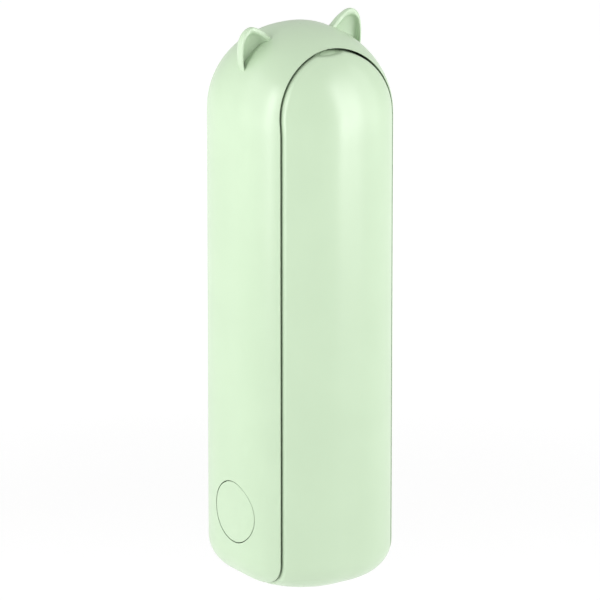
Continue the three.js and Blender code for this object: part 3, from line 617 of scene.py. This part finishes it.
class Look:
    """A procedural material: noise in the part's own coordinates drives its colour, roughness and bump."""

    def __init__(self, name, color, roughness, metallic=0.0):
        self.material = bpy.data.materials.new(name)
        self.material.use_nodes = True
        self.nodes = self.material.node_tree.nodes
        self.links = self.material.node_tree.links
        self.shader = self.nodes["Principled BSDF"]
        self.shader.inputs["Metallic"].default_value = metallic
        self.shader.inputs["Roughness"].default_value = roughness
        self.color = linear(color)
        self.shader.inputs["Base Color"].default_value = (*self.color, 1)
        self.coordinates = self.nodes.new("ShaderNodeTexCoord").outputs["Object"]
        self.height = None

    def noise(self, per_mm, detail=3.0, stretch=(1, 1, 1)):
        mapping = self.nodes.new("ShaderNodeMapping")
        mapping.inputs["Scale"].default_value = stretch
        texture = self.nodes.new("ShaderNodeTexNoise")
        texture.inputs["Scale"].default_value = per_mm / MM
        texture.inputs["Detail"].default_value = detail
        self.links.new(self.coordinates, mapping.inputs["Vector"])
        self.links.new(mapping.outputs["Vector"], texture.inputs["Vector"])
        return texture.outputs["Fac"]

    def between(self, factor, low, high, start=0.3, end=0.7):
        ramp = self.nodes.new("ShaderNodeMapRange")
        ramp.interpolation_type = "SMOOTHERSTEP"
        ramp.inputs["From Min"].default_value = start
        ramp.inputs["From Max"].default_value = end
        ramp.inputs["To Min"].default_value = low
        ramp.inputs["To Max"].default_value = high
        self.links.new(factor, ramp.inputs["Value"])
        return ramp.outputs["Result"]

    def vary_color(self, factor, other):
        mixer = self.nodes.new("ShaderNodeMix")
        mixer.data_type = "RGBA"
        mixer.inputs["A"].default_value = (*self.color, 1)
        mixer.inputs["B"].default_value = (*linear(other), 1)
        self.links.new(self.between(factor, 0, 1), mixer.inputs["Factor"])
        self.links.new(mixer.outputs["Result"], self.shader.inputs["Base Color"])
        return self

    def paint_gap_shade(self, reach_mm, share):
        """Painted shade: paint the colour darker and stronger, down to share of its square, inside gaps of
        about reach, where little light gets in.
        """
        open_sky = self.nodes.new("ShaderNodeAmbientOcclusion")
        open_sky.samples = 8
        open_sky.inputs["Distance"].default_value = reach_mm * MM
        base = self.shader.inputs["Base Color"]
        mixer = self.nodes.new("ShaderNodeMix")
        mixer.data_type = "RGBA"
        # Colour of the painted shade at the bottom of a gap.
        mixer.inputs["A"].default_value = (*(share * c**2 for c in self.color), 1)
        self.links.new(base.links[0].from_socket, mixer.inputs["B"])
        self.links.new(self.between(open_sky.outputs["AO"], 0, 1, 0.0, 0.5), mixer.inputs["Factor"])
        self.links.new(mixer.outputs["Result"], base)
        return self

    def vary_roughness(self, factor, low, high):
        self.links.new(self.between(factor, low, high), self.shader.inputs["Roughness"])
        return self

    def bump(self, factor, depth_mm, strength=1.0):
        node = self.nodes.new("ShaderNodeBump")
        node.inputs["Strength"].default_value = strength
        node.inputs["Distance"].default_value = depth_mm * MM
        self.links.new(factor, node.inputs["Height"])
        if self.height:
            self.links.new(self.height, node.inputs["Normal"])
        self.height = node.outputs["Normal"]
        self.links.new(self.height, self.shader.inputs["Normal"])
        return self


def linear(color):
    """Linear light from an sRGB colour of 0 to 255."""
    return tuple((c / 255 / 12.92) if c < 10.3 else ((c / 255 + 0.055) / 1.055) ** 2.4 for c in color)


# Width in millimetres of the gaps that get painted shade.
GAP_SHADE_REACH = 1.2


def moulded(name, color, other, roughness, grain_per_mm, grain_depth=0.0002, gap_shade_share=1.0):
    """Injection-moulded plastic: faint cloudiness, a fine grain, slow waves and, when the gap share is below
    1, painted shade in narrow gaps.
    """
    look = Look(name, color, roughness)
    look.vary_color(look.noise(0.05, 3), other)
    # Painted shade: narrow gaps such as the seam are painted darker.
    if gap_shade_share < 1:
        look.paint_gap_shade(GAP_SHADE_REACH, gap_shade_share)
    look.vary_roughness(look.noise(0.12, 2), roughness - 0.02, roughness + 0.02)
    look.shader.inputs["Specular IOR Level"].default_value = 0.65
    look.bump(look.noise(0.02, 1), 0.05, 0.25)
    look.bump(look.noise(grain_per_mm, 1), grain_depth)
    return look.material


def metal(name, color, other, roughness, stretch=(1, 1, 1)):
    """Bare metal with faint scratches, drawn out where stretch isn't even."""
    look = Look(name, color, roughness, metallic=1.0)
    look.vary_color(look.noise(0.3, 4), other)
    look.vary_roughness(look.noise(0.9, 4, stretch), roughness - 0.08, roughness + 0.12)
    look.bump(look.noise(2.5, 3, stretch), 0.003)
    return look.material


def light_pipe():
    look = Look("light_pipe", (240, 246, 240), 0.3)
    look.shader.inputs["Transmission Weight"].default_value = 0.35
    look.shader.inputs["Subsurface Weight"].default_value = 0.2
    look.vary_roughness(look.noise(0.8), 0.25, 0.4)
    return look.material


def circuit_board():
    """Green solder mask with the faint raised paths of the copper under it."""
    look = Look("circuit_board", (26, 92, 58), 0.32)
    cells = look.nodes.new("ShaderNodeTexVoronoi")
    cells.distance = "MANHATTAN"
    cells.inputs["Scale"].default_value = 0.35 / MM
    look.links.new(look.coordinates, cells.inputs["Vector"])
    look.vary_color(cells.outputs["Distance"], (44, 128, 84))
    look.bump(cells.outputs["Distance"], 0.03, 0.6)
    look.vary_roughness(look.noise(0.9), 0.26, 0.42)
    return look.material


def winding():
    """Enamelled copper wire: fine turns side by side."""
    look = Look("copper", (196, 104, 54), 0.3, metallic=1.0)
    wave = look.nodes.new("ShaderNodeTexWave")
    wave.bands_direction = "DIAGONAL"
    wave.inputs["Scale"].default_value = 0.9 / MM
    wave.inputs["Distortion"].default_value = 0.4
    look.links.new(look.coordinates, wave.inputs["Vector"])
    look.vary_color(wave.outputs["Fac"], (140, 62, 30))
    look.bump(wave.outputs["Fac"], 0.06)
    return look.material


def looks():
    return {
        # The two mint looks end with the share of their colour kept where narrow gaps get painted shade.
        "mint_shell": moulded("mint_shell", (178, 199, 170), (176, 197, 168), 0.31, 1.0, 0.0002, 0.32),
        "mint_inner": moulded("mint_inner", (176, 197, 168), (172, 193, 164), 0.5, 1.1, 0.004, 0.6),
        "blade_plastic": moulded("blade_plastic", (208, 210, 206), (203, 206, 201), 0.4, 1.3),
        "light_pipe": light_pipe(),
        "circuit_board": circuit_board(),
        "chip_black": moulded("chip_black", (30, 31, 34), (40, 41, 44), 0.5, 2.5, 0.01),
        "dark_steel": metal("dark_steel", (66, 68, 74), (84, 86, 92), 0.38),
        "steel": metal("steel", (196, 198, 202), (176, 178, 184), 0.26, (1, 1, 6)),
        "nickel": metal("nickel", (206, 202, 192), (190, 186, 176), 0.24),
        "brass": metal("brass", (206, 176, 104), (188, 156, 86), 0.3),
        "copper": winding(),
        "cell_wrap": moulded("cell_wrap", (70, 146, 196), (62, 136, 186), 0.3, 0.8),
        "foam": moulded("foam", (58, 60, 62), (74, 76, 78), 0.95, 0.9, 0.15),
        "red_wire": moulded("red_wire", (190, 36, 34), (172, 30, 30), 0.45, 1.2),
        "black_wire": moulded("black_wire", (28, 28, 30), (40, 40, 42), 0.45, 1.2),
    }


# ---- Stage --------------------------------------------------------------------------------------


def camera():
    """The product's three-quarter front view, from a little above, through a long lens."""
    azimuth, elevation, distance = math.radians(-34.35), math.radians(18.75), 1.845
    target = Vector((0, 0, 0.0673))
    back = Vector((
        math.sin(azimuth) * math.cos(elevation),
        -math.cos(azimuth) * math.cos(elevation),
        math.sin(elevation),
    ))
    data = bpy.data.cameras.new("view")
    data.sensor_width = 36
    data.lens = 462
    data.clip_end = 20
    eye = bpy.data.objects.new("view", data)
    eye.location = target + distance * back
    eye.rotation_euler = back.to_track_quat("Z", "Y").to_euler()
    bpy.context.scene.collection.objects.link(eye)
    bpy.context.scene.camera = eye


# Area lights in metres: place, target, size and watts.
LIGHTS = {
    "panel_left": ((-0.33, 0.1, 0.2), (0, 0, 0.1), (0.4, 0.4), 0.68),
    "panel_right": ((0.25, -0.2, 0.2), (0, 0, 0.1), (0.25, 0.4), 0.46),
    "strip_left": ((-0.29, -0.05, 0.17), (0, 0, 0.11), (0.04, 0.34), 0.4),
    "strip_right": ((0.14, -0.26, 0.17), (0, 0, 0.11), (0.04, 0.34), 0.4),
}
SKY_SIDE, SKY_TOP = 0.62, 0.76  # strength of the world's light from the side and below, and from overhead
FLOOR_REACH = 3  # metres
GLOW_NEAR, GLOW_FAR = 0.08, 0.3  # strength of the floor's own light near the middle and away from it
GLOW_START, GLOW_END = 0.25, 0.6  # distances from the origin in metres between which it grows


def area_light(name, place, target, size, watts):
    data = bpy.data.lights.new(name, "AREA")
    data.shape = "RECTANGLE"
    data.size, data.size_y = size
    data.energy = watts
    light = bpy.data.objects.new(name, data)
    light.location = place
    light.rotation_euler = (Vector(place) - Vector(target)).to_track_quat("Z", "Y").to_euler()
    light.visible_camera = False
    bpy.context.scene.collection.objects.link(light)


def studio_world():
    """White light from all round, a little stronger from overhead; the camera sees plain white."""
    world = bpy.data.worlds.new("studio")
    world.use_nodes = True
    nodes, links = world.node_tree.nodes, world.node_tree.links
    split = nodes.new("ShaderNodeSeparateXYZ")
    links.new(nodes.new("ShaderNodeTexCoord").outputs["Generated"], split.inputs["Vector"])
    fade = nodes.new("ShaderNodeMapRange")
    fade.inputs["To Min"].default_value = SKY_SIDE
    fade.inputs["To Max"].default_value = SKY_TOP
    links.new(split.outputs["Z"], fade.inputs["Value"])
    backdrop = nodes.new("ShaderNodeMath")
    backdrop.operation = "MAXIMUM"
    links.new(fade.outputs["Result"], backdrop.inputs[0])
    links.new(nodes.new("ShaderNodeLightPath").outputs["Is Camera Ray"], backdrop.inputs[1])
    links.new(backdrop.outputs["Value"], nodes["Background"].inputs["Strength"])
    nodes["Background"].inputs["Color"].default_value = (1, 1, 1, 1)
    bpy.context.scene.world = world


def floor_paper():
    """White paper that glows a little, and more so away from the part."""
    paper = Look("floor", (252, 252, 252), 0.9)
    paper.vary_color(paper.noise(0.004, 3), (250, 250, 250))
    paper.shader.inputs["Emission Color"].default_value = (1, 1, 1, 1)
    distance = paper.nodes.new("ShaderNodeVectorMath")
    distance.operation = "LENGTH"
    paper.links.new(paper.coordinates, distance.inputs[0])
    glow = paper.between(distance.outputs["Value"], GLOW_NEAR, GLOW_FAR, GLOW_START, GLOW_END)
    paper.links.new(glow, paper.shader.inputs["Emission Strength"])
    return paper.material


def stage():
    studio_world()
    bpy.context.scene.view_settings.view_transform = "Standard"
    for name, light in LIGHTS.items():
        area_light(name, *light)
    mesh = bpy.data.meshes.new("floor")
    reach = FLOOR_REACH
    corners = [(-reach, -reach), (reach, -reach), (reach, reach), (-reach, reach)]
    mesh.from_pydata([(x, y, FLOOR_Z * MM) for x, y in corners], [], [(0, 1, 2, 3)])
    floor = bpy.data.objects.new("floor", mesh)
    bpy.context.scene.collection.objects.link(floor)
    floor.data.materials.append(floor_paper())


# ---- Pieces -------------------------------------------------------------------------------------


def body_core(inset):
    """The whole body form, inset inside the surface, as one closed solid."""
    heights = fillet_heights(0, inset, 8)[::-1] + list(np.linspace(FOOT, SHOULDER, 8))[1:]
    heights += [SHOULDER + (DOME - inset) * math.sin(a) for a in np.linspace(0, math.pi / 2, 14)[1:]]
    rings = []
    for z in heights:
        half = half_outline(z, inset)
        left = [around(half * f, z, inset) for f in np.linspace(0, 1, 49)]
        rings.append(left + [(-x, y, h) for x, y, h in left[-2:0:-1]])
    return lofted("core", rings)


def frame_of(node):
    """The inner part of a CAD shell: what lies behind its smooth skin."""
    source = frame["nodes"][node]
    piece = bpy.data.objects.new("frame", source.data.copy())
    bpy.context.scene.collection.objects.link(piece)
    with_bmesh(piece, lambda bm: bmesh.ops.remove_doubles(bm, verts=bm.verts, dist=1e-7))
    boolean(piece, body_core(SKIN + SKIN_GAP), "INTERSECT")
    return smooth(piece, 32)


def handle_piece():
    skin = shell("handle_skin", list(zip(handle_grids(0.0), handle_grids(SKIN))), HANDLE_RIM)
    for side in (-1, 1):
        boolean(skin, ear(side), "UNION")
    pocket = circle((HINGE_Y, HINGE_Z), PIN_POCKET)
    for low, high in ((-SIDE_HIGH, -SIDE_LOW), (SIDE_LOW, SIDE_HIGH)):
        boolean(skin, bar(pocket, low, high), "DIFFERENCE")
    boolean(skin, bar(port_outline(), SIDE_LOW, SIDE_HIGH), "DIFFERENCE")
    return joined("handle_shell_finished", [smooth(skin), frame_of("handle_shell")])


def arm_piece():
    skin = shell("arm_skin", list(zip(arm_grids(0.0), arm_grids(SKIN))), ARM_RIM)
    return joined("arm_shell_finished", [smooth(skin), frame_of("arm_shell")])


def put(piece, node, body, slot):
    piece.data.materials.clear()
    piece.data.materials.append(LOOKS[slot])
    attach(piece, body)
    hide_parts(node)


# Visible CAD pieces that only need finer edges: material slot and edge radius.
FINISHED = {
    "handle": {
        "handle_inner_cover": ("mint_inner", 0.15),
        "charge_indicator": ("light_pipe", 0.08),
        "usb_c_port": ("steel", 0.08),
        **{f"cover_screw_{i}": ("steel", 0.05) for i in range(1, 5)},
    },
    "button": {"power_button": ("blade_plastic", 0.12)},
    "arm": {
        "arm_inner_cover": ("mint_inner", 0.15),
        "heel_screw": ("steel", 0.05),
        **{f"arm_screw_{i}": ("steel", 0.05) for i in range(1, 5)},
    },
    "rotor": {"rotor_bell": ("steel", 0.1), "hub_cap": ("mint_shell", 0.15)},
}

LOOKS = looks()
camera()
stage()
for part in frame["record"]["subparts"]:
    mesh = frame["nodes"][part["node"]].data
    mesh.materials.clear()
    mesh.materials.append(LOOKS[part["material_slot"]])
put(handle_piece(), "handle_shell", "handle", "mint_shell")
put(arm_piece(), "arm_shell", "arm", "mint_shell")
put(pin_piece("left", -1), "hinge_pin_left", "handle", "mint_shell")
put(pin_piece("right", 1), "hinge_pin_right", "handle", "mint_shell")
put(propeller_piece(), "propeller", "rotor", "blade_plastic")
for body, nodes in FINISHED.items():
    for node, (slot, bevel) in nodes.items():
        put(refined(node, bevel), node, body, slot)
